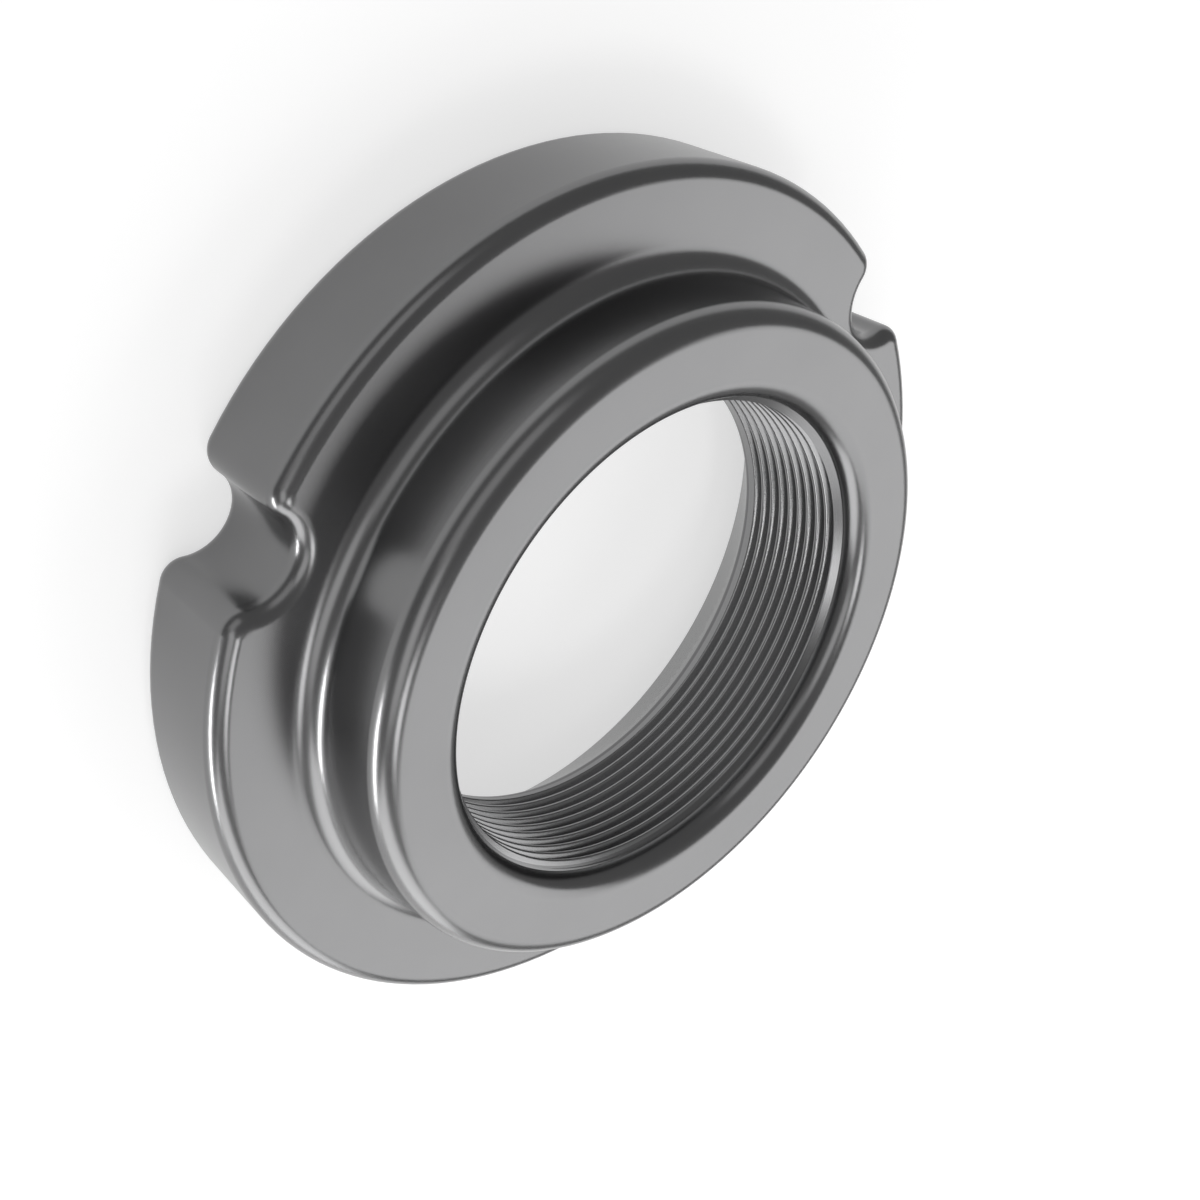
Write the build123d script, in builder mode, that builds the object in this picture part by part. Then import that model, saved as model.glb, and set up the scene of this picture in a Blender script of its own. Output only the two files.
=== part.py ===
from build123d import *
import math
import os

# Bearing lock nut, M60 x 1.5: one turned piece with a round-edged flange, a drafted hub
# and three round-bottomed notches in the rim for a hook spanner.
# The nut stands on its back face: origin at the centre of that face, +Z along the bore.

# Thread. The bore is left at the minor diameter, and the last flank opens into a short
# plain relief, a little wider than the major diameter, in the mouth of the hub.
thread_diameter = 60.0
thread_pitch = 1.5
thread_flank_angle = 30.0
relief_clearance = 0.1
relief_land = 0.1

# Hub and flange. Radii step outwards from the thread: the wall of the hub at its base,
# its root, a flat land round it, and the notches, which end at the rim.
nut_height = 26.2
flange_thickness = 14.9
hub_wall = 11.3
hub_draft = 4.0
flange_land = 2.9

# Lead-in at the back of the bore, cut at 45 degrees
lead_in_depth = 8.3

# Notches in the rim
notch_count = 3
notch_radius = 5.0
notch_depth = 6.0
first_notch_angle = -90.0

# Rounded edges
rim_edge_radius = 2.1
notch_corner_radius = 2.9
hub_root_radius = 2.8
hub_edge_radius = 2.7
bore_edge_radius = 2.5
lead_in_edge_radius = 1.0

# Sizes that follow from the ones above
thread_height = thread_pitch * math.sqrt(3) / 2
minor_radius = thread_diameter / 2 - thread_height * 5 / 8
relief_radius = thread_diameter / 2 + relief_clearance
relief_start = nut_height - bore_edge_radius - relief_land
relief_step_width = relief_radius - minor_radius
relief_step_height = relief_step_width * math.tan(math.radians(thread_flank_angle))
lead_in_radius = minor_radius + lead_in_depth
hub_height = nut_height - flange_thickness
hub_base_radius = thread_diameter / 2 + hub_wall
hub_radius = hub_base_radius - hub_height * math.tan(math.radians(hub_draft))
notch_floor_radius = hub_base_radius + hub_root_radius + flange_land
notch_centre = notch_floor_radius + notch_radius
flange_radius = notch_floor_radius + notch_depth

with BuildPart() as lock_nut:
    # Flange outline with its round notches, their corners rounded where they meet the rim
    with BuildSketch() as flange_outline:
        Circle(flange_radius)
        with PolarLocations(notch_centre, notch_count, start_angle=first_notch_angle):
            Circle(notch_radius, mode=Mode.SUBTRACT)
        fillet(flange_outline.vertices(), notch_corner_radius)
    extrude(amount=flange_thickness)

    # Hub, a cone of small draft that narrows towards its face
    with BuildSketch(Plane.XZ):
        with BuildLine():
            Polyline(
                (0, flange_thickness),
                (hub_base_radius, flange_thickness),
                (hub_radius, nut_height),
                (0, nut_height),
                close=True,
            )
        make_face()
    revolve(axis=Axis.Z)

    # Bore: lead-in cone at the back, threaded length, last flank, plain relief
    with BuildSketch(Plane.XZ):
        with BuildLine():
            Polyline(
                (0, 0),
                (lead_in_radius, 0),
                (minor_radius, lead_in_depth),
                (minor_radius, relief_start - relief_step_height),
                (relief_radius, relief_start),
                (relief_radius, nut_height),
                (0, nut_height),
                close=True,
            )
        make_face()
    revolve(axis=Axis.Z, mode=Mode.SUBTRACT)

    # Rounded edges, each taken from the flat face that it borders
    back_face, flange_face, hub_face = lock_nut.faces().filter_by(Axis.Z).sort_by(Axis.Z)
    rim_edges = back_face.outer_wire().edges() + flange_face.outer_wire().edges()
    lead_in_edge = lock_nut.edges().filter_by_position(Axis.Z, lead_in_depth, lead_in_depth)
    fillet(rim_edges, rim_edge_radius)
    fillet(flange_face.inner_wires()[0].edges(), hub_root_radius)
    fillet(hub_face.outer_wire().edges(), hub_edge_radius)
    fillet(hub_face.inner_wires()[0].edges(), bore_edge_radius)
    fillet(lead_in_edge, lead_in_edge_radius)

lock_nut.part.label = "lock_nut"

os.makedirs("parts", exist_ok=True)
export_step(lock_nut.part, "parts/lock_nut.step")
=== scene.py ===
import math

import bmesh
import bpy
from bpy.props import (
    FloatProperty,
    FloatVectorProperty,
    IntProperty,
    PointerProperty,
)
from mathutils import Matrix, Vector
from mathutils.geometry import intersect_point_line


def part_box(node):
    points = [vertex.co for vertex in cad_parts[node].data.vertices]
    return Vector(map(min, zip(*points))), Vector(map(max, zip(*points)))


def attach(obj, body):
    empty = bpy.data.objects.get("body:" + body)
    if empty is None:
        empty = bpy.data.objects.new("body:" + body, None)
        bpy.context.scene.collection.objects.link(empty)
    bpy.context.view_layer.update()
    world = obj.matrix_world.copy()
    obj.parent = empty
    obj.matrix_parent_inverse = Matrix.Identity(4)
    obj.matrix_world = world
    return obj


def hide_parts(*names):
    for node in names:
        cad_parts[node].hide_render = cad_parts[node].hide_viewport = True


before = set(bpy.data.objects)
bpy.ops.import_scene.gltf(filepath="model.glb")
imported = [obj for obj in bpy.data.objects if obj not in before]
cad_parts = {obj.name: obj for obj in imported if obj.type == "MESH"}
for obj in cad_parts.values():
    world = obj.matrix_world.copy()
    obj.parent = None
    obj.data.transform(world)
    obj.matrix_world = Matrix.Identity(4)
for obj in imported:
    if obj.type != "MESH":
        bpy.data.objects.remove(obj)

bl_info = {
    "name": "Bearing Lock Nut",
    "version": (1, 0, 0),
    "blender": (4, 5, 0),
    "location": "View3D > Sidebar > Lock Nut",
    "description": "Models a threaded bearing lock nut, its steel and a plain studio",
    "category": "Add Mesh",
}

MM = 0.001
TURN = 2 * math.pi
WELD = 0.008 * MM  # points nearer than this are one point

# Angles that a metric thread and the bore's lead-in have
FLANK_FROM_AXIS = math.radians(60)
FLANK_LEAN = math.radians(30)
LEAD_IN_ANGLE = math.radians(45)
START_SLACK = math.radians(0.1)  # so near the groove's start that it counts as the start

# What counts as level, by the upright part of a face's normal, and as a sharp corner
LEVEL = 0.9999
NEARLY_LEVEL = 0.99
SHARP_TURN = math.radians(25)

# Steps in each rounding
ROUND_STEPS = 10
HOLLOW_STEPS = 14
CORNER_STEPS = 12
LEAD_IN_STEPS = 5
CREST_STEPS = 3
GROOVE_STEPS = 6

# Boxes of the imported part, which the sizes below start from
PART_LOW, PART_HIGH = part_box("lock_nut")
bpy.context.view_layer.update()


def length(name, description, default_mm, low_mm=0.0):
    """A size that the user sees in the scene's own length unit."""
    return FloatProperty(
        name=name,
        description=description,
        default=default_mm * MM,
        min=low_mm * MM,
        unit="LENGTH",
        subtype="DISTANCE",
        precision=5,
    )


def share(name, description, default):
    """A number from 0 to 1."""
    return FloatProperty(
        name=name, description=description, default=default, min=0.0, max=1.0, subtype="FACTOR"
    )


def colour(name, description, default):
    """A colour with its opacity."""
    return FloatVectorProperty(
        name=name, description=description, default=default, size=4, min=0.0, max=1.0,
        subtype="COLOR",
    )


class LockNutShape(bpy.types.PropertyGroup):
    """Sizes of the turned and milled body"""

    flange_diameter: length(
        "Flange diameter", "Across the rim of the flange",
        round((PART_HIGH.x - PART_LOW.x) / MM, 2),
    )
    height: length(
        "Height", "From the back face to the face of the hub", round(PART_HIGH.z / MM, 2)
    )
    flange_thickness: length("Flange thickness", "From the back face to the shoulder", 14.9)
    hub_base_diameter: length(
        "Hub diameter", "Where the hub's wall would meet the shoulder if it had no rounding", 82.6
    )
    hub_draft: FloatProperty(
        name="Hub draft", description="Lean of the hub's wall towards the axis",
        default=math.radians(4.0), min=0.0, max=math.radians(20.0),
        unit="ROTATION", subtype="ANGLE",
    )
    notch_count: IntProperty(
        name="Notches", description="Spanner notches round the rim", default=3, min=1, max=8
    )
    notch_radius: length("Notch radius", "Of the round bottom of each notch", 5.0)
    notch_depth: length("Notch depth", "From the rim to the bottom of each notch", 6.0)
    rim_round: length("Rim rounding", "Radius along both edges of the rim", 2.1)
    corner_round: length("Notch corner rounding", "Radius where a notch opens into the rim", 2.9)
    root_round: length("Hub root rounding", "Hollow radius between shoulder and hub", 2.8)
    hub_round: length("Hub edge rounding", "Radius round the outside of the hub's face", 2.7)
    mouth_round: length("Bore mouth rounding", "Radius round the inside of the hub's face", 2.5)
    lead_in_depth: length("Lead-in depth", "Height of the 45 degree cone at the back", 8.3)
    lead_in_round: length("Lead-in rounding", "Radius between the cone and the thread", 1.0)
    columns: IntProperty(
        name="Columns", description="Steps round the axis; a multiple of the notches",
        default=288, min=96, max=480,
    )


class LockNutThread(bpy.types.PropertyGroup):
    """Sizes of the right-hand metric thread"""

    diameter: length("Diameter", "Nominal diameter of the thread", 60.0)
    pitch: length("Pitch", "From one groove to the next", 1.5)
    crest_round: length("Crest rounding", "Radius along both edges of each crest", 0.28)
    relief_clearance: length("Relief clearance", "Of the plain relief beyond the thread", 0.1)
    relief_land: length("Relief land", "Height of the plain relief", 0.1)
    first_groove: length("First groove", "Height of the groove's middle where it starts", 9.521)
    start_angle: FloatProperty(
        name="Start", description="Where the groove starts, round the axis from +X",
        default=math.radians(-72.5), unit="ROTATION", subtype="ANGLE",
    )
    run_in: FloatProperty(
        name="Run-in", description="Turn over which the groove reaches its full depth",
        default=math.radians(75.0), unit="ROTATION", subtype="ANGLE",
    )


class LockNutSteel(bpy.types.PropertyGroup):
    """Finish of the steel, and the painted light on its thread"""

    tone: colour("Steel", "Colour of the polished steel", (0.18, 0.18, 0.182, 1.0))
    # The thread's lighter colour is painted light, which lifts the shade inside its grooves.
    thread_painted_light: colour("Thread painted light", "Lighter colour painted on the thread against its grooves' shade", (0.28, 0.28, 0.283, 1.0))
    roughness: share("Roughness", "Of the evenly polished surface", 0.26)
    unevenness: share("Unevenness", "How much the polish varies over the nut", 0.05)
    grain: share("Lathe grain", "Depth of the fine lines that the lathe left", 0.15)


class LockNutStudio(bpy.types.PropertyGroup):
    """Floor, lamps and camera"""

    floor: colour("Floor", "Colour of the floor", (0.57, 0.57, 0.57, 1.0))
    floor_glow: share("Floor glow", "White that the floor adds for the eye and for the metal", 0.6)
    room_front: colour(
        "Room front", "Colour of the room on the camera's side", (0.27, 0.27, 0.27, 1.0)
    )
    room_back: colour("Room back", "Colour of the room behind the nut", (0.3, 0.3, 0.3, 1.0))


# Modelling by hand: one object in edit mode, with what is next to be changed selected


def leave_edit():
    if bpy.context.object and bpy.context.object.mode == "EDIT":
        bpy.ops.object.mode_set(mode="OBJECT")


def edit(piece, mode="VERT"):
    """Opens a piece for editing, with nothing in it selected."""
    leave_edit()
    bpy.ops.object.select_all(action="DESELECT")
    piece.select_set(True)
    bpy.context.view_layer.objects.active = piece
    bpy.ops.object.mode_set(mode="EDIT")
    bpy.ops.mesh.select_mode(type=mode)
    bpy.ops.mesh.select_all(action="DESELECT")


def pick(piece, mode, test):
    """Selects the points, edges or faces that pass a test, and says how many did."""
    edit(piece, mode)
    shape = bmesh.from_edit_mesh(piece.data)
    domain = {"VERT": shape.verts, "EDGE": shape.edges, "FACE": shape.faces}[mode]
    found = [element for element in domain if test(element)]
    for element in found:
        element.select_set(True)
    bmesh.update_edit_mesh(piece.data)
    return len(found)


def expect(count, wanted, what):
    """Stops where a selection isn't what the sizes call for."""
    if count != wanted:
        raise RuntimeError(f"{what}: {count} selected, and {wanted} were expected")


def pen(name, radius, height):
    """A new piece that is one point in the section plane, ready to be drawn on from."""
    leave_edit()
    bpy.ops.object.select_all(action="DESELECT")
    bpy.ops.mesh.primitive_plane_add(size=MM, location=(0, 0, 0))
    piece = bpy.context.active_object
    piece.name = name
    piece.data.name = name
    bpy.ops.object.mode_set(mode="EDIT")
    bpy.ops.mesh.select_mode(type="VERT")
    bpy.ops.mesh.select_all(action="SELECT")
    bpy.ops.mesh.merge(type="CENTER")
    bpy.ops.transform.translate(value=(radius, 0, height))
    return piece


def pen_point(piece):
    """The end of the line, where drawing goes on."""
    points = [v.co.copy() for v in bmesh.from_edit_mesh(piece.data).verts if v.select]
    expect(len(points), 1, f"end of the line in {piece.name}")
    return points[0]


def line_to(piece, radius, height):
    """Draws a straight line in the section plane."""
    step = Vector((radius, 0, height)) - pen_point(piece)
    bpy.ops.mesh.extrude_region_move(TRANSFORM_OT_translate={"value": step})


def section_arc(piece, radius, height, angle, steps):
    """Draws an arc in the section plane, anticlockwise, seen with the axis on the left."""
    bpy.ops.mesh.spin(
        steps=steps, dupli=False, angle=angle, center=(radius, 0, height), axis=(0, 1, 0)
    )


def plan_arc(centre, angle, steps):
    """Draws an arc as seen from above, anticlockwise where the angle is positive."""
    bpy.ops.mesh.spin(steps=steps, dupli=False, angle=angle, center=centre, axis=(0, 0, -1))


def turn_round_axis(piece, columns):
    """Turns the whole drawn section once round the axis, as on a lathe."""
    edit(piece)
    bpy.ops.mesh.select_all(action="SELECT")
    bpy.ops.mesh.spin(
        steps=columns, dupli=False, angle=TURN, center=(0, 0, 0), axis=(0, 0, -1)
    )
    bpy.ops.mesh.select_all(action="SELECT")
    bpy.ops.mesh.remove_doubles(threshold=WELD)


def join(pieces, name):
    """Joins pieces into the first and welds the points that meet."""
    leave_edit()
    bpy.ops.object.select_all(action="DESELECT")
    for piece in pieces:
        piece.select_set(True)
    bpy.context.view_layer.objects.active = pieces[0]
    bpy.ops.object.join()
    piece = bpy.context.active_object
    piece.name = name
    piece.data.name = name
    edit(piece)
    bpy.ops.mesh.select_all(action="SELECT")
    bpy.ops.mesh.remove_doubles(threshold=WELD)
    leave_edit()
    return piece


def apply_modifier(piece, kind, **settings):
    """Gives a piece a modifier with its settings, and applies it."""
    leave_edit()
    bpy.ops.object.select_all(action="DESELECT")
    piece.select_set(True)
    bpy.context.view_layer.objects.active = piece
    modifier = piece.modifiers.new(kind.title(), kind)
    for name, value in settings.items():
        setattr(modifier, name, value)
    bpy.ops.object.modifier_apply(modifier=modifier.name)


def at(value, wanted, slack=0.001 * MM):
    return abs(value - wanted) < slack


def out_from_axis(point):
    return math.hypot(point.x, point.y)


def many_sided(face):
    """A face that fills a whole outline, such as an end of the flange or of the plug."""
    return len(face.verts) > 4


def open_loop_at(height):
    """A test for the edges of an open loop at one height."""
    return lambda edge: edge.is_boundary and all(at(v.co.z, height) for v in edge.verts)


def within_straight_edge(vertex):
    """A point that only two edges meet in, and that lies on the line between their far ends."""
    if len(vertex.link_edges) != 2:
        return False
    first, second = (edge.other_vert(vertex).co for edge in vertex.link_edges)
    nearest, _ = intersect_point_line(vertex.co, first, second)
    return (nearest - vertex.co).length < WELD


class Section:
    """Radii and heights that follow from the user's sizes."""

    def __init__(self, shape, thread):
        self.shape, self.thread = shape, thread
        self.rim = shape.flange_diameter / 2
        self.shoulder = shape.flange_thickness
        self.top = shape.height
        sharp_height = thread.pitch * math.sqrt(3) / 2
        self.groove_depth = sharp_height * 5 / 8  # as the metric standard cuts it
        self.minor = thread.diameter / 2 - self.groove_depth
        self.relief = thread.diameter / 2 + thread.relief_clearance
        self.mouth_height = self.top - shape.mouth_round
        self.relief_foot = self.mouth_height - thread.relief_land
        self.relief_slope = math.tan(FLANK_LEAN)
        self.relief_low = self.relief_foot - (self.relief - self.minor) * self.relief_slope
        self.lean = math.tan(shape.hub_draft)
        self.skew = 1 / math.cos(shape.hub_draft)
        self.root_centre = (
            self.hub_wall(self.shoulder + shape.root_round) + shape.root_round * self.skew,
            self.shoulder + shape.root_round,
        )
        self.edge_centre = (
            self.hub_wall(self.top - shape.hub_round) - shape.hub_round * self.skew,
            self.top - shape.hub_round,
        )
        self.lead_in_rim = self.minor + shape.lead_in_depth
        edge_run = shape.lead_in_round * math.tan(LEAD_IN_ANGLE / 2)
        diagonal = math.sqrt(0.5)
        self.thread_foot = shape.lead_in_depth + edge_run
        self.cone_end = (
            self.minor + edge_run * diagonal,
            shape.lead_in_depth - edge_run * diagonal,
        )

    def hub_wall(self, height):
        """Radius of the hub's leaning wall at a height."""
        return self.shape.hub_base_diameter / 2 - (height - self.shoulder) * self.lean

    def on_hub(self, centre, radius, side):
        """Where a rounding meets the hub's wall; side is 1 if it bulges, -1 if it is hollow."""
        lean = self.shape.hub_draft
        return (
            centre[0] + side * radius * math.cos(lean),
            centre[1] + side * radius * math.sin(lean),
        )


def model_flange(cut):
    """The flange's rim: its outline with the notches, drawn by arcs, raised and rounded."""
    shape = cut.shape
    sector = TURN / shape.notch_count
    columns = shape.columns // shape.notch_count
    rim_steps = columns - 2 * (HOLLOW_STEPS + CORNER_STEPS)

    # Where the centres of the notch's hollow and of its rounded corner lie
    hollow = cut.rim - shape.notch_depth + shape.notch_radius
    reach = shape.notch_radius + shape.corner_round
    inner = cut.rim - shape.corner_round
    corner_x = (hollow**2 + inner**2 - reach**2) / (2 * hollow)
    corner_y = math.sqrt(inner**2 - corner_x**2)
    corner_turn = math.atan2(corner_y, corner_x)
    hollow_angle = math.atan2(corner_y, hollow - corner_x)
    corner_angle = math.pi - math.acos(
        (reach**2 + inner**2 - hollow**2) / (2 * reach * inner)
    )

    def place(radius, angle):
        return (radius * math.cos(angle), radius * math.sin(angle), 0)

    flange = pen("flange", cut.rim - shape.notch_depth, 0)
    plan_arc(place(hollow, 0), -hollow_angle, HOLLOW_STEPS)
    plan_arc(place(inner, corner_turn), corner_angle, CORNER_STEPS)
    plan_arc(place(0, 0), sector - 2 * corner_turn, rim_steps)
    plan_arc(place(inner, sector - corner_turn), corner_angle, CORNER_STEPS)
    plan_arc(place(hollow, sector), -hollow_angle, HOLLOW_STEPS)

    # The drawn sector is copied round the axis, each copy from the one before
    bpy.ops.mesh.select_all(action="SELECT")
    for _ in range(1, shape.notch_count):
        bpy.ops.mesh.duplicate()
        bpy.ops.transform.rotate(
            value=-sector, orient_axis="Z", center_override=(0, 0, 0)
        )
    bpy.ops.mesh.select_all(action="SELECT")
    bpy.ops.mesh.remove_doubles(threshold=WELD)
    bpy.ops.mesh.select_all(action="SELECT")
    bpy.ops.transform.rotate(
        value=math.radians(90), orient_axis="Z", center_override=(0, 0, 0)
    )

    bpy.ops.mesh.edge_face_add()
    bpy.ops.mesh.extrude_region_move(TRANSFORM_OT_translate={"value": (0, 0, cut.shoulder)})
    rim_edges = pick(
        flange,
        "EDGE",
        lambda e: at(e.verts[0].co.z, e.verts[1].co.z),
    )
    expect(rim_edges, 2 * shape.columns, "edges of the rim")
    bpy.ops.mesh.bevel(
        offset=shape.rim_round, offset_type="OFFSET", segments=ROUND_STEPS, profile=0.5,
        affect="EDGES", clamp_overlap=False,
    )
    pick(flange, "FACE", many_sided)
    bpy.ops.mesh.delete(type="ONLY_FACE")
    leave_edit()
    return flange


def model_turned_body(cut):
    """All that a lathe makes: hub, bore mouth and lead-in, each turned from its section."""
    shape = cut.shape
    round_angle = math.radians(90) - shape.hub_draft
    shoulder_start = cut.root_centre[0] + 0.4 * MM  # a narrow ring of the shoulder

    upper = pen("upper", shoulder_start, cut.shoulder)
    line_to(upper, cut.root_centre[0], cut.shoulder)
    section_arc(upper, *cut.root_centre, -round_angle, ROUND_STEPS)
    line_to(upper, *cut.on_hub(cut.edge_centre, shape.hub_round, 1))
    section_arc(upper, *cut.edge_centre, round_angle, ROUND_STEPS)
    line_to(upper, cut.relief + shape.mouth_round, cut.top)
    section_arc(
        upper, cut.relief + shape.mouth_round, cut.mouth_height, math.radians(90),
        ROUND_STEPS,
    )
    turn_round_axis(upper, shape.columns)

    lower = pen("lower", cut.lead_in_rim, 0)
    line_to(lower, *cut.cone_end)
    section_arc(
        lower, cut.minor + shape.lead_in_round, cut.thread_foot, -LEAD_IN_ANGLE,
        LEAD_IN_STEPS,
    )
    turn_round_axis(lower, shape.columns)
    return [upper, lower]


def model_thread(cut):
    """The threaded wall of the bore, made as the plug that would fill it."""
    shape, thread = cut.shape, cut.thread
    pitch = thread.pitch
    flank = FLANK_FROM_AXIS
    crest_half = pitch / 8
    root_half = pitch / 16
    ease = thread.crest_round * math.tan(flank / 2)
    root_radius = root_half / math.sin(flank)
    groove = thread.first_groove
    bottom = groove - pitch / 2

    crest_end = bottom + crest_half - ease
    next_crest = bottom + pitch - crest_half + ease

    # One pitch of the profile, from the middle of one crest to the middle of the next
    plug = pen("plug", cut.minor, bottom)
    line_to(plug, cut.minor, crest_end)
    section_arc(plug, cut.minor + thread.crest_round, crest_end, -flank, CREST_STEPS)
    line_to(plug, cut.minor + cut.groove_depth, groove - root_half)
    section_arc(
        plug,
        cut.minor + cut.groove_depth - root_radius * math.cos(flank),
        groove,
        2 * flank,
        GROOVE_STEPS,
    )
    line_to(
        plug,
        cut.minor + thread.crest_round * (1 - math.cos(flank)),
        next_crest - thread.crest_round * math.sin(flank),
    )
    section_arc(plug, cut.minor + thread.crest_round, next_crest, -flank, CREST_STEPS)
    line_to(plug, cut.minor, bottom + pitch)
    bpy.ops.mesh.select_all(action="SELECT")
    bpy.ops.transform.rotate(
        value=-thread.start_angle, orient_axis="Z", center_override=(0, 0, 0)
    )

    turns = math.ceil((cut.mouth_height - bottom) / pitch) + 1
    apply_modifier(
        plug, "SCREW", axis="Z", angle=TURN, screw_offset=pitch, iterations=turns,
        steps=shape.columns, render_steps=shape.columns, use_smooth_shade=True,
    )
    edit(plug)
    bpy.ops.mesh.select_all(action="SELECT")
    bpy.ops.mesh.remove_doubles(threshold=WELD)
    leave_edit()
    run_in_groove(plug, cut, bottom)
    close_foot(plug, cut, bottom)
    open_into_relief(plug, cut)
    return plug


def along_groove(point, thread):
    """How far round the axis a point lies from where the groove starts."""
    angle = math.atan2(point.y, point.x) - thread.start_angle
    return (angle + START_SLACK) % TURN - START_SLACK


def run_in_groove(plug, cut, bottom):
    """Draws the groove's first part in to the crests, so that it starts at no depth."""
    thread = cut.thread
    group = plug.vertex_groups.new(name="run_in")
    for vertex in plug.data.vertices:
        turned = along_groove(vertex.co, thread)
        foot = bottom + thread.pitch * turned / TURN
        first_turn = foot - WELD < vertex.co.z < foot + thread.pitch + WELD
        if first_turn and turned < thread.run_in:
            part = max(turned / thread.run_in, 0)
            eased = part * part * (3 - 2 * part)
            group.add([vertex.index], 1 - eased, "REPLACE")
    apply_modifier(
        plug, "CAST", cast_type="CYLINDER", factor=1.0, use_radius_as_size=False,
        size=cut.minor, use_x=True, use_y=True, use_z=False, vertex_group=group.name,
    )
    plug.vertex_groups.remove(plug.vertex_groups["run_in"])


def close_foot(plug, cut, bottom):
    """Brings the thread's winding lower edge down to one level, and closes the step in it."""
    pitch = cut.thread.pitch
    first_pitch = bottom + 1.01 * pitch  # just above the lower edge, where it ends
    full_step = 0.98 * pitch
    upright = 0.1 * MM  # an edge that goes sideways by less than this stands upright

    def along(edge):
        start, end = edge.verts[0].co, edge.verts[1].co
        return math.hypot(start.x - end.x, start.y - end.y) > upright

    count = pick(
        plug,
        "EDGE",
        lambda e: e.is_boundary and along(e) and e.verts[0].co.z < first_pitch,
    )
    expect(count, cut.shape.columns, "lower edge of the thread")
    bpy.ops.mesh.extrude_region_move(
        TRANSFORM_OT_translate={"value": (0, 0, -0.5 * pitch)}
    )
    bpy.ops.transform.resize(value=(1, 1, 0), center_override=(0, 0, cut.thread_foot))
    bpy.ops.mesh.select_all(action="SELECT")
    bpy.ops.mesh.remove_doubles(threshold=WELD)

    # The last face spans the whole step, so it gives way to one that has every point on it
    def long_upright(edge):
        start, end = edge.verts[0].co, edge.verts[1].co
        whole_step = abs(start.z - end.z) > full_step
        at_start = abs(along_groove(start, cut.thread)) < START_SLACK
        return edge.is_boundary and not along(edge) and whole_step and at_start

    def round_the_step(edge):
        lowest = min(v.co.z for v in edge.verts)
        level = all(at(v.co.z, cut.thread_foot) for v in edge.verts)
        return edge.is_boundary and lowest < first_pitch and not level

    expect(pick(plug, "EDGE", long_upright), 1, "open side of the step")
    bpy.ops.mesh.delete(type="EDGE")
    pick(plug, "EDGE", round_the_step)
    bpy.ops.mesh.edge_face_add()
    leave_edit()


def cap(piece, height):
    """Closes the open loop of a piece at a height."""
    pick(piece, "EDGE", open_loop_at(height))
    bpy.ops.mesh.edge_face_add()
    leave_edit()


def open_into_relief(plug, cut):
    """Cuts the thread off inside the relief and lets the relief's cone run over it."""
    shape = cut.shape
    inside_relief = (cut.relief_foot + cut.mouth_height) / 2
    edit(plug, "FACE")
    bpy.ops.mesh.select_all(action="SELECT")
    bpy.ops.mesh.bisect(
        plane_co=(0, 0, inside_relief), plane_no=(0, 0, 1), use_fill=True,
        clear_outer=True, threshold=WELD / 4,
    )
    cap(plug, cut.thread_foot)

    inner = cut.minor - 1 * MM  # well within the thread's crests
    inner_height = cut.relief_foot - (cut.relief - inner) * cut.relief_slope
    relief = pen("relief", inner, inner_height)
    line_to(relief, cut.relief, cut.relief_foot)
    line_to(relief, cut.relief, cut.mouth_height)
    turn_round_axis(relief, shape.columns)
    cap(relief, inner_height)
    cap(relief, cut.mouth_height)
    for piece in (plug, relief):
        edit(piece)
        bpy.ops.mesh.select_all(action="SELECT")
        bpy.ops.mesh.normals_make_consistent(inside=False)
        leave_edit()
    apply_modifier(plug, "BOOLEAN", operation="UNION", solver="EXACT", object=relief)
    bpy.data.objects.remove(relief)

    def end_cap(face):
        level = abs(face.normal.z) > NEARLY_LEVEL
        height = face.calc_center_median().z
        at_end = at(height, cut.thread_foot) or at(height, cut.mouth_height)
        return level and many_sided(face) and at_end

    pick(plug, "FACE", end_cap)
    bpy.ops.mesh.delete(type="ONLY_FACE")
    leave_edit()


def fill_flat_ring(nut, height):
    """Fills the flat between the two open loops of the nut at a height."""
    pick(nut, "EDGE", open_loop_at(height))
    bpy.ops.mesh.fill(use_beauty=True)
    leave_edit()


def shade_by_form(nut, cut):
    """Smooth shading in which flats, walls and cones keep their own direction."""
    shape = cut.shape
    wall_low, wall_high = shape.rim_round, cut.shoulder - shape.rim_round
    hub_foot = cut.root_centre[0]
    hub_low, hub_high = (
        cut.on_hub(cut.root_centre, shape.root_round, -1)[1],
        cut.on_hub(cut.edge_centre, shape.hub_round, 1)[1],
    )

    def strength(face):
        middle = face.calc_center_median()
        radius, height = out_from_axis(middle), middle.z
        flat = abs(face.normal.z) > LEVEL
        rim_wall = radius > hub_foot and wall_low < height < wall_high
        hub_wall = cut.relief + shape.mouth_round < radius and hub_low < height < hub_high
        cone = height < cut.cone_end[1] and radius < cut.lead_in_rim
        if flat or rim_wall or hub_wall or cone:
            return "STRONG"
        threaded = radius < cut.relief and cut.thread_foot < height < cut.mouth_height
        return "MEDIUM" if threaded else "WEAK"

    def corner_of_relief(edge):
        sharp = edge.calc_face_angle() > SHARP_TURN
        return sharp and all(
            cut.relief_low - WELD < v.co.z < cut.relief_foot + WELD
            and out_from_axis(v.co) < cut.relief + WELD
            for v in edge.verts
        )

    for level in ("STRONG", "MEDIUM", "WEAK"):
        pick(nut, "FACE", lambda f: strength(f) == level)
        bpy.ops.mesh.mod_weighted_strength(set=True, face_strength=level)
    pick(nut, "EDGE", corner_of_relief)
    bpy.ops.mesh.mark_sharp()
    leave_edit()
    bpy.ops.object.shade_smooth()
    apply_modifier(
        nut, "WEIGHTED_NORMAL", mode="FACE_AREA", weight=50, use_face_influence=True,
        keep_sharp=True,
    )


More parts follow.
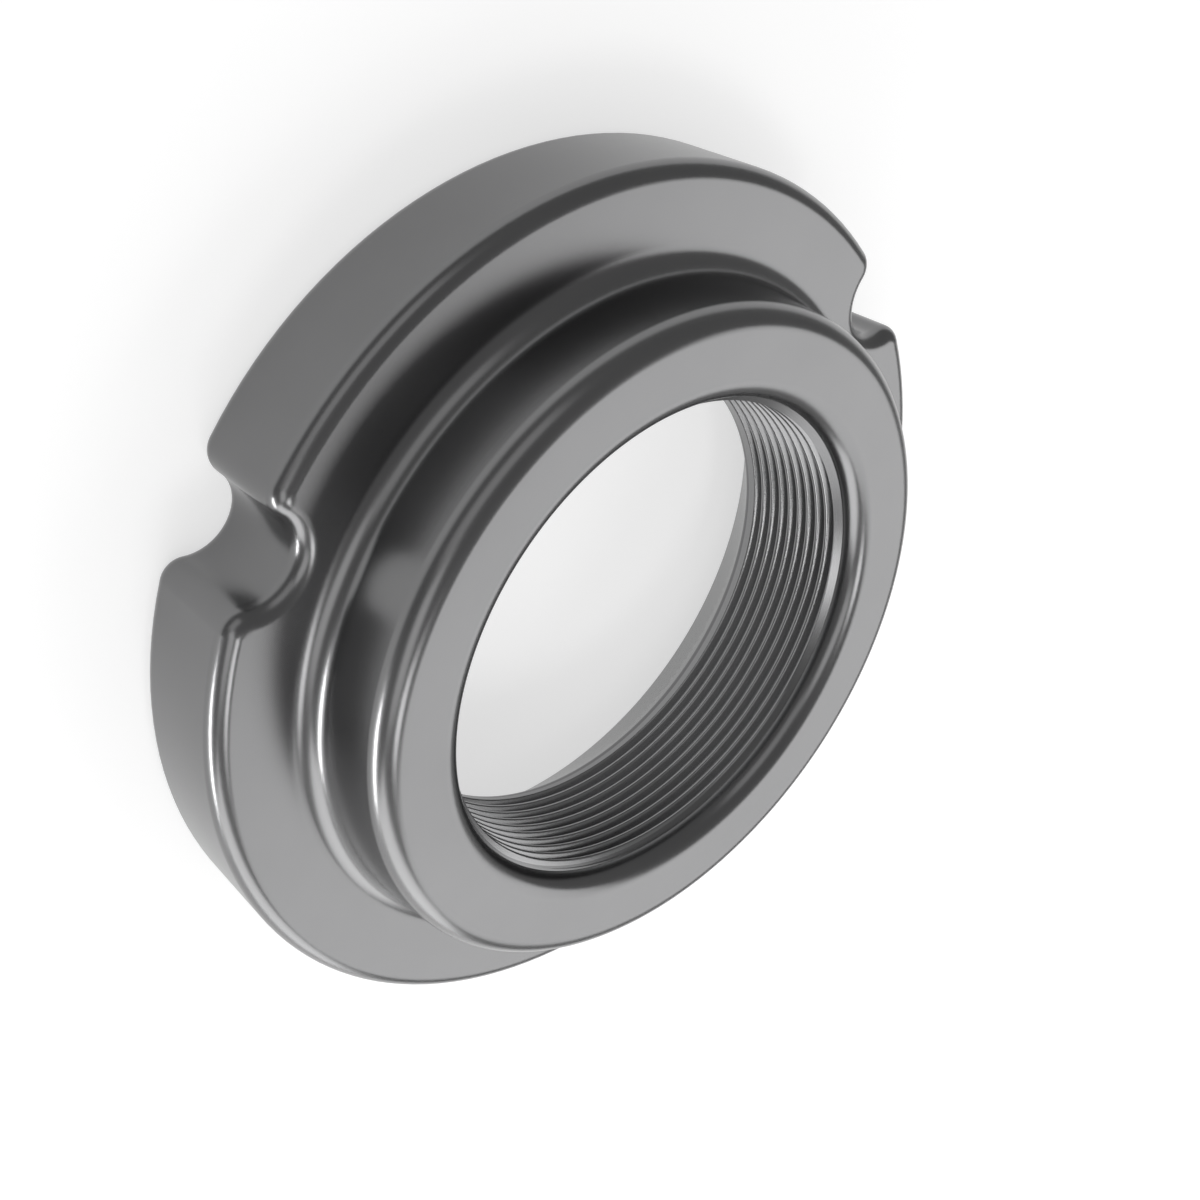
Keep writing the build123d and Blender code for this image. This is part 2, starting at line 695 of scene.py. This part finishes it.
class MESH_OT_lock_nut(bpy.types.Operator):
    """Models the whole nut as one closed steel piece"""

    bl_idname = "mesh.lock_nut_add"
    bl_label = "Lock nut"
    bl_options = {"REGISTER", "UNDO"}

    def execute(self, context):
        scene = context.scene
        cut = Section(scene.lock_nut_shape, scene.lock_nut_thread)
        flange = model_flange(cut)
        turned = model_turned_body(cut)
        thread = model_thread(cut)
        nut = join([flange, *turned, thread], "nut")
        pick(nut, "VERT", within_straight_edge)  # the thread's union leaves a few
        bpy.ops.mesh.dissolve_verts()
        leave_edit()
        fill_flat_ring(nut, cut.shoulder)
        fill_flat_ring(nut, 0)
        edit(nut)
        bpy.ops.mesh.select_all(action="SELECT")
        bpy.ops.mesh.normals_make_consistent(inside=False)
        leave_edit()
        open_edges = pick(nut, "EDGE", lambda e: not e.is_manifold)
        expect(open_edges, 0, "open edges of the finished nut")
        shade_by_form(nut, cut)
        nut.data.materials.clear()
        nut.data.materials.append(polished_steel(scene.lock_nut_steel, cut))
        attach(nut, "root")
        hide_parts("lock_nut")
        return {"FINISHED"}


# Steel


def add(tree, kind, place, **settings):
    node = tree.nodes.new(kind)
    node.location = place
    for name, value in settings.items():
        setattr(node, name, value)
    return node


def named(sockets, identifier):
    """The socket with an identifier, of a node that has several of one name."""
    return next(socket for socket in sockets if socket.identifier == identifier)


def sum_node(tree, operation, place, first=None, second=None):
    """A Math node, with its inputs set to numbers or linked to sockets."""
    node = add(tree, "ShaderNodeMath", place, operation=operation)
    for socket, value in zip(node.inputs, (first, second)):
        if isinstance(value, (int, float)):
            socket.default_value = value
        elif value is not None:
            tree.links.new(value, socket)
    return node.outputs[0]


def open_group(name, inputs, outputs):
    """A node group with named sockets, and its two end nodes."""
    tree = bpy.data.node_groups.new(name, "ShaderNodeTree")
    for label, kind, default in inputs:
        socket = tree.interface.new_socket(label, in_out="INPUT", socket_type=kind)
        if default is not None:
            socket.default_value = default
    for label, kind in outputs:
        tree.interface.new_socket(label, in_out="OUTPUT", socket_type=kind)
    start = add(tree, "NodeGroupInput", (-900, 0))
    end = add(tree, "NodeGroupOutput", (700, 0))
    return tree, start, end


def axis_group():
    """Distance from the axis and height of each point, for the groups that go by them."""
    name = "Round the axis"
    if name in bpy.data.node_groups:
        return bpy.data.node_groups[name]
    tree, start, end = open_group(
        name,
        [("Position", "NodeSocketVector", None)],
        [("Radius", "NodeSocketFloat"), ("Height", "NodeSocketFloat")],
    )
    split = add(tree, "ShaderNodeSeparateXYZ", (-700, 100))
    tree.links.new(start.outputs["Position"], split.inputs[0])
    across = sum_node(
        tree, "ADD", (-300, 200),
        sum_node(tree, "MULTIPLY", (-500, 300), split.outputs[0], split.outputs[0]),
        sum_node(tree, "MULTIPLY", (-500, 100), split.outputs[1], split.outputs[1]),
    )
    tree.links.new(sum_node(tree, "SQRT", (-150, 200), across), end.inputs["Radius"])
    tree.links.new(split.outputs[2], end.inputs["Height"])
    return tree


def lathe_grain_group():
    """Fine rings round the axis: by distance from it on flats, and by height on walls."""
    tree, start, end = open_group(
        "Lathe grain",
        [("Position", "NodeSocketVector", None), ("Lines per metre", "NodeSocketFloat", 4000.0)],
        [("Rings", "NodeSocketFloat")],
    )
    axis = add(tree, "ShaderNodeGroup", (-400, 100), node_tree=axis_group())
    tree.links.new(start.outputs["Position"], axis.inputs["Position"])
    section = add(tree, "ShaderNodeCombineXYZ", (0, 100))
    tree.links.new(axis.outputs["Radius"], section.inputs[0])
    tree.links.new(axis.outputs["Height"], section.inputs[1])
    noise = add(tree, "ShaderNodeTexNoise", (300, 100), noise_dimensions="2D")
    noise.inputs["Detail"].default_value = 2.0
    noise.inputs["Roughness"].default_value = 0.6
    tree.links.new(section.outputs[0], noise.inputs["Vector"])
    tree.links.new(start.outputs["Lines per metre"], noise.inputs["Scale"])
    tree.links.new(noise.outputs["Fac"], end.inputs["Rings"])
    return tree


def thread_mask_group():
    """White on the thread, between two heights and within a radius."""
    tree, start, end = open_group(
        "Thread mask",
        [
            ("Position", "NodeSocketVector", None),
            ("Radius", "NodeSocketFloat", None),
            ("Low", "NodeSocketFloat", None),
            ("High", "NodeSocketFloat", None),
        ],
        [("Mask", "NodeSocketFloat")],
    )
    axis = add(tree, "ShaderNodeGroup", (-600, 100), node_tree=axis_group())
    tree.links.new(start.outputs["Position"], axis.inputs["Position"])
    inside = sum_node(
        tree, "LESS_THAN", (-300, 300), axis.outputs["Radius"], start.outputs["Radius"]
    )
    above = sum_node(
        tree, "GREATER_THAN", (-300, 100), axis.outputs["Height"], start.outputs["Low"]
    )
    below = sum_node(
        tree, "LESS_THAN", (-300, -100), axis.outputs["Height"], start.outputs["High"]
    )
    between = sum_node(tree, "MULTIPLY", (0, 0), above, below)
    tree.links.new(sum_node(tree, "MULTIPLY", (200, 100), inside, between), end.inputs["Mask"])
    return tree


def polish_group():
    """Broad, faint change of the polish from place to place."""
    tree, start, end = open_group(
        "Polish",
        [
            ("Position", "NodeSocketVector", None),
            ("Middle", "NodeSocketFloat", None),
            ("Spread", "NodeSocketFloat", None),
            ("Patches per metre", "NodeSocketFloat", 60.0),
        ],
        [("Roughness", "NodeSocketFloat"), ("Patches", "NodeSocketFloat")],
    )
    noise = add(tree, "ShaderNodeTexNoise", (-500, 100), noise_dimensions="3D")
    noise.inputs["Detail"].default_value = 4.0
    noise.inputs["Roughness"].default_value = 0.55
    tree.links.new(start.outputs["Position"], noise.inputs["Vector"])
    tree.links.new(start.outputs["Patches per metre"], noise.inputs["Scale"])
    patches = noise.outputs["Fac"]
    centred = sum_node(tree, "SUBTRACT", (-200, 100), patches, 0.5)
    scaled = sum_node(tree, "MULTIPLY", (0, 100), centred, start.outputs["Spread"])
    rough = sum_node(tree, "ADD", (200, 100), scaled, start.outputs["Middle"])
    tree.links.new(rough, end.inputs["Roughness"])
    tree.links.new(patches, end.inputs["Patches"])
    return tree


def polished_steel(steel, cut):
    """Even satin steel, with a faint lathe grain, a polish that varies a little, and a lighter
    colour on the thread that is painted light against its grooves' shade.
    """
    material = bpy.data.materials.new("polished_steel")
    material.use_nodes = True
    tree = material.node_tree
    tree.nodes.clear()
    output = add(tree, "ShaderNodeOutputMaterial", (600, 0))
    shader = add(tree, "ShaderNodeBsdfPrincipled", (300, 0))
    shader.inputs["Metallic"].default_value = 1.0
    tree.links.new(shader.outputs[0], output.inputs["Surface"])
    place = add(tree, "ShaderNodeTexCoord", (-900, 0))

    polish = add(tree, "ShaderNodeGroup", (-600, 150), node_tree=polish_group())
    polish.inputs["Middle"].default_value = steel.roughness
    polish.inputs["Spread"].default_value = steel.unevenness
    tree.links.new(place.outputs["Object"], polish.inputs["Position"])
    tree.links.new(polish.outputs["Roughness"], shader.inputs["Roughness"])

    duller, brighter = 0.96, 1.04
    tone = add(tree, "ShaderNodeValToRGB", (-200, 300))
    low, high = tone.color_ramp.elements
    low.position, high.position = 0.3, 0.7
    low.color = [duller * part for part in steel.tone[:3]] + [1.0]
    high.color = [min(brighter * part, 1.0) for part in steel.tone[:3]] + [1.0]
    tree.links.new(polish.outputs["Patches"], tone.inputs[0])

    # Painted light: the thread gets the lighter colour so that its grooves look less shaded.
    mask = add(tree, "ShaderNodeGroup", (-600, 500), node_tree=thread_mask_group())
    just_past = 0.02 * MM
    mask.inputs["Radius"].default_value = cut.relief + just_past
    mask.inputs["Low"].default_value = cut.thread_foot
    mask.inputs["High"].default_value = cut.relief_low
    tree.links.new(place.outputs["Object"], mask.inputs["Position"])
    both = add(tree, "ShaderNodeMix", (50, 300), data_type="RGBA")
    named(both.inputs, "B_Color").default_value = steel.thread_painted_light
    tree.links.new(mask.outputs["Mask"], named(both.inputs, "Factor_Float"))
    tree.links.new(tone.outputs[0], named(both.inputs, "A_Color"))
    tree.links.new(named(both.outputs, "Result_Color"), shader.inputs["Base Color"])

    grain = add(tree, "ShaderNodeGroup", (-600, -200), node_tree=lathe_grain_group())
    tree.links.new(place.outputs["Object"], grain.inputs["Position"])
    grain_depth = 0.01 * MM
    bump = add(tree, "ShaderNodeBump", (-200, -200))
    bump.inputs["Strength"].default_value = steel.grain
    bump.inputs["Distance"].default_value = grain_depth
    tree.links.new(grain.outputs["Rings"], bump.inputs["Height"])
    tree.links.new(bump.outputs[0], shader.inputs["Normal"])
    return material


# Studio

FLOOR_WIDTH = 8.0
NUT_MIDDLE = Vector((0, 0, 0.013))

# The camera that was fitted to the photo's circles: place in metres, turn in degrees
CAMERA_PLACE = (-0.042374, -0.138334, 0.124676)
CAMERA_TURN = (-29.9185, -37.2174, 116.791)
CAMERA_LENS = 45.947
CAMERA_SHIFT = (0.1083, -0.075)


def direction(azimuth, elevation):
    """Unit vector from the nut, with angles in degrees from +X and from the floor."""
    a, e = math.radians(azimuth), math.radians(elevation)
    return Vector((math.cos(a) * math.cos(e), math.sin(a) * math.cos(e), math.sin(e)))


def soft_lamp(name, azimuth, elevation, distance, width, height, brightness):
    """A rectangular lamp that faces the nut; brightness is how white its face is."""
    away = direction(azimuth, elevation)
    turned = away.to_track_quat("Z", "Y").to_euler()
    bpy.ops.object.light_add(
        type="AREA", location=NUT_MIDDLE + away * distance, rotation=turned
    )
    lamp = bpy.context.active_object
    lamp.name = name
    lamp.data.shape = "RECTANGLE"
    lamp.data.size = width
    lamp.data.size_y = height
    lamp.data.energy = brightness * math.pi * width * height


def light_the_nut():
    """Lamps round the nut: where each stands, how large it is and how bright."""
    soft_lamp(
        "back_softbox", azimuth=70, elevation=38, distance=0.8,
        width=1.0, height=0.46, brightness=1.83,
    )
    soft_lamp(
        "front_softbox", azimuth=-120, elevation=40, distance=0.9,
        width=0.8, height=0.45, brightness=0.6,
    )
    soft_lamp(
        "front_right_softbox", azimuth=-56, elevation=50, distance=0.85,
        width=0.6, height=0.36, brightness=1.24,
    )
    soft_lamp(
        "right_fill", azimuth=3, elevation=18, distance=0.8,
        width=0.75, height=0.45, brightness=2.65,
    )
    soft_lamp(
        "right_strip", azimuth=-36, elevation=0.8, distance=0.6,
        width=0.3, height=0.043, brightness=30.0,
    )
    soft_lamp(
        "thread_lamp", azimuth=9, elevation=61, distance=0.85,
        width=0.24, height=0.2, brightness=4.8,
    )


def aim_camera():
    """The photo's camera, as the scene's own."""
    bpy.ops.object.camera_add(
        location=CAMERA_PLACE, rotation=[math.radians(angle) for angle in CAMERA_TURN]
    )
    camera = bpy.context.active_object
    camera.name = "camera"
    camera.data.sensor_width = 36.0
    camera.data.lens = CAMERA_LENS
    camera.data.shift_x, camera.data.shift_y = CAMERA_SHIFT
    camera.data.clip_start, camera.data.clip_end = 0.01, 20.0
    bpy.context.scene.camera = camera


def floor_material(studio):
    """Matt floor; part of its white is there only for the eye and for reflections."""
    material = bpy.data.materials.new("pale_floor")
    material.use_nodes = True
    tree = material.node_tree
    tree.nodes.clear()
    output = add(tree, "ShaderNodeOutputMaterial", (600, 0))
    both = add(tree, "ShaderNodeAddShader", (400, 0))
    matt = add(tree, "ShaderNodeBsdfDiffuse", (100, 150))
    matt.inputs["Color"].default_value = studio.floor
    glow = add(tree, "ShaderNodeEmission", (100, -100))
    path = add(tree, "ShaderNodeLightPath", (-500, -100))
    seen = sum_node(
        tree, "MAXIMUM", (-100, -100),
        sum_node(
            tree, "MAXIMUM", (-300, -50),
            path.outputs["Is Camera Ray"], path.outputs["Is Glossy Ray"],
        ),
        path.outputs["Is Transmission Ray"],
    )
    strength = sum_node(tree, "MULTIPLY", (-50, -250), seen, studio.floor_glow)
    tree.links.new(strength, glow.inputs["Strength"])
    tree.links.new(matt.outputs[0], both.inputs[0])
    tree.links.new(glow.outputs[0], both.inputs[1])
    tree.links.new(both.outputs[0], output.inputs["Surface"])
    return material


def room_light(studio):
    """A grey room, darker on the camera's side than behind the nut."""
    world = bpy.data.worlds.new("room")
    bpy.context.scene.world = world
    world.use_nodes = True
    tree = world.node_tree
    tree.nodes.clear()
    output = add(tree, "ShaderNodeOutputWorld", (600, 0))
    background = add(tree, "ShaderNodeBackground", (400, 0))
    ramp = add(tree, "ShaderNodeValToRGB", (100, 0))
    split = add(tree, "ShaderNodeSeparateXYZ", (-100, 0))
    place = add(tree, "ShaderNodeTexCoord", (-300, 0))
    low, high = ramp.color_ramp.elements
    low.position, high.position = 0.25, 0.8
    low.color, high.color = studio.room_front, studio.room_back
    tree.links.new(place.outputs["Generated"], split.inputs[0])
    half = sum_node(tree, "MULTIPLY", (-50, -200), split.outputs[1], 0.5)
    tree.links.new(sum_node(tree, "ADD", (50, -200), half, 0.5), ramp.inputs[0])
    tree.links.new(ramp.outputs[0], background.inputs["Color"])
    tree.links.new(background.outputs[0], output.inputs["Surface"])


class SCENE_OT_lock_nut_studio(bpy.types.Operator):
    """Sets a pale floor, soft lamps and a camera round the nut"""

    bl_idname = "scene.lock_nut_studio"
    bl_label = "Studio"
    bl_options = {"REGISTER", "UNDO"}

    def execute(self, context):
        studio = context.scene.lock_nut_studio
        leave_edit()
        bpy.ops.object.select_all(action="DESELECT")
        bpy.ops.mesh.primitive_plane_add(size=FLOOR_WIDTH, location=(0, 0, 0))
        floor = context.active_object
        floor.name = "floor"
        floor.data.materials.append(floor_material(studio))
        room_light(studio)
        light_the_nut()
        aim_camera()
        context.scene.view_settings.view_transform = "Standard"
        return {"FINISHED"}


class VIEW3D_PT_lock_nut(bpy.types.Panel):
    """Sizes, finish and studio of the lock nut"""

    bl_label = "Lock Nut"
    bl_space_type = "VIEW_3D"
    bl_region_type = "UI"
    bl_category = "Lock Nut"

    def draw(self, context):
        scene = context.scene
        for title, group, operator in (
            ("Body", scene.lock_nut_shape, None),
            ("Thread", scene.lock_nut_thread, None),
            ("Steel", scene.lock_nut_steel, MESH_OT_lock_nut.bl_idname),
            ("Studio", scene.lock_nut_studio, SCENE_OT_lock_nut_studio.bl_idname),
        ):
            box = self.layout.box()
            box.label(text=title)
            for name in group.bl_rna.properties.keys():
                if name not in ("rna_type", "name"):
                    box.prop(group, name)
            if operator:
                box.operator(operator)


CLASSES = (
    LockNutShape,
    LockNutThread,
    LockNutSteel,
    LockNutStudio,
    MESH_OT_lock_nut,
    SCENE_OT_lock_nut_studio,
    VIEW3D_PT_lock_nut,
)


def register():
    for cls in CLASSES:
        bpy.utils.register_class(cls)
    bpy.types.Scene.lock_nut_shape = PointerProperty(type=LockNutShape)
    bpy.types.Scene.lock_nut_thread = PointerProperty(type=LockNutThread)
    bpy.types.Scene.lock_nut_steel = PointerProperty(type=LockNutSteel)
    bpy.types.Scene.lock_nut_studio = PointerProperty(type=LockNutStudio)


def unregister():
    for name in ("lock_nut_shape", "lock_nut_thread", "lock_nut_steel", "lock_nut_studio"):
        delattr(bpy.types.Scene, name)
    for cls in reversed(CLASSES):
        bpy.utils.unregister_class(cls)


def main():
    register()
    bpy.ops.mesh.lock_nut_add()
    bpy.ops.scene.lock_nut_studio()


if __name__ == "__main__":
    main()
